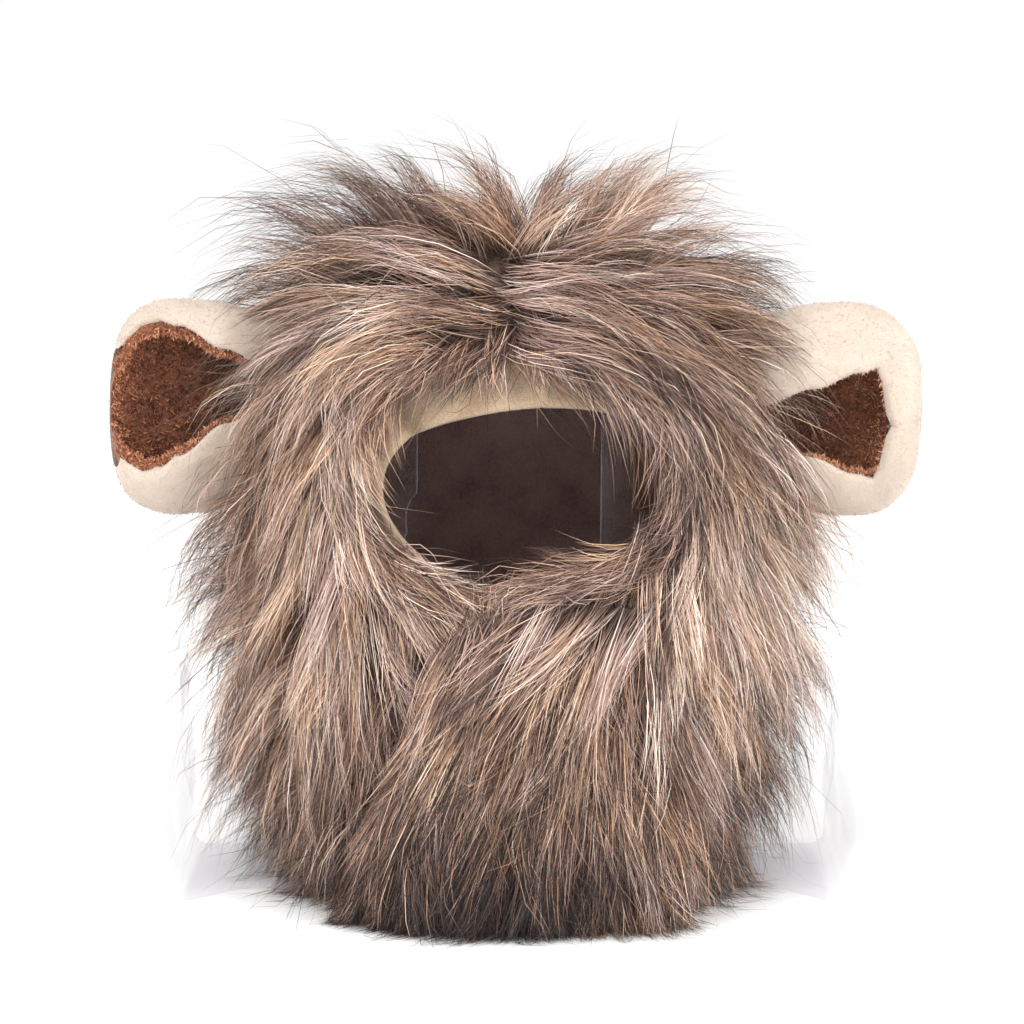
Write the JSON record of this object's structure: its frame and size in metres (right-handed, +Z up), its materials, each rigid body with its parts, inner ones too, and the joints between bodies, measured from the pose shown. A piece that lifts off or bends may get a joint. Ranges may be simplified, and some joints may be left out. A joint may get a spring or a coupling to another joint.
{
  "type": "pet lion mane wig on clear plastic stand",
  "caption": "Faux fur hood with a round face opening, lined inside, closed by a flap under the chin, with cupped plush ears, on a rolled clear sheet stand.",
  "frame": {"origin": "middle of the footprint, on the floor that the hem and the stand rest on", "axes": "+Z up, +X across the face towards the viewer's right, -Y the way the face opening looks"},
  "size_m": [0.2868, 0.176, 0.256],
  "materials": {
    "fur": "long pile acrylic faux fur, tan with dark guard hairs",
    "fleece": "cream velvet fleece",
    "plush": "cream short plush",
    "sherpa": "brown curly sherpa fleece",
    "closure_tape": "hook-and-loop tape",
    "clear_film": "clear thin plastic sheet"
  },
  "bodies": {
    "root": {"mane_left": "fur", "mane_right": "fur", "chin_flap": "fur", "closure_patch": "closure_tape", "lining": "fleece", "ear_shell_left": "plush", "ear_shell_right": "plush", "ear_inner_left": "sherpa", "ear_inner_right": "sherpa", "clear_stand": "clear_film"}
  },
  "joints": []
}
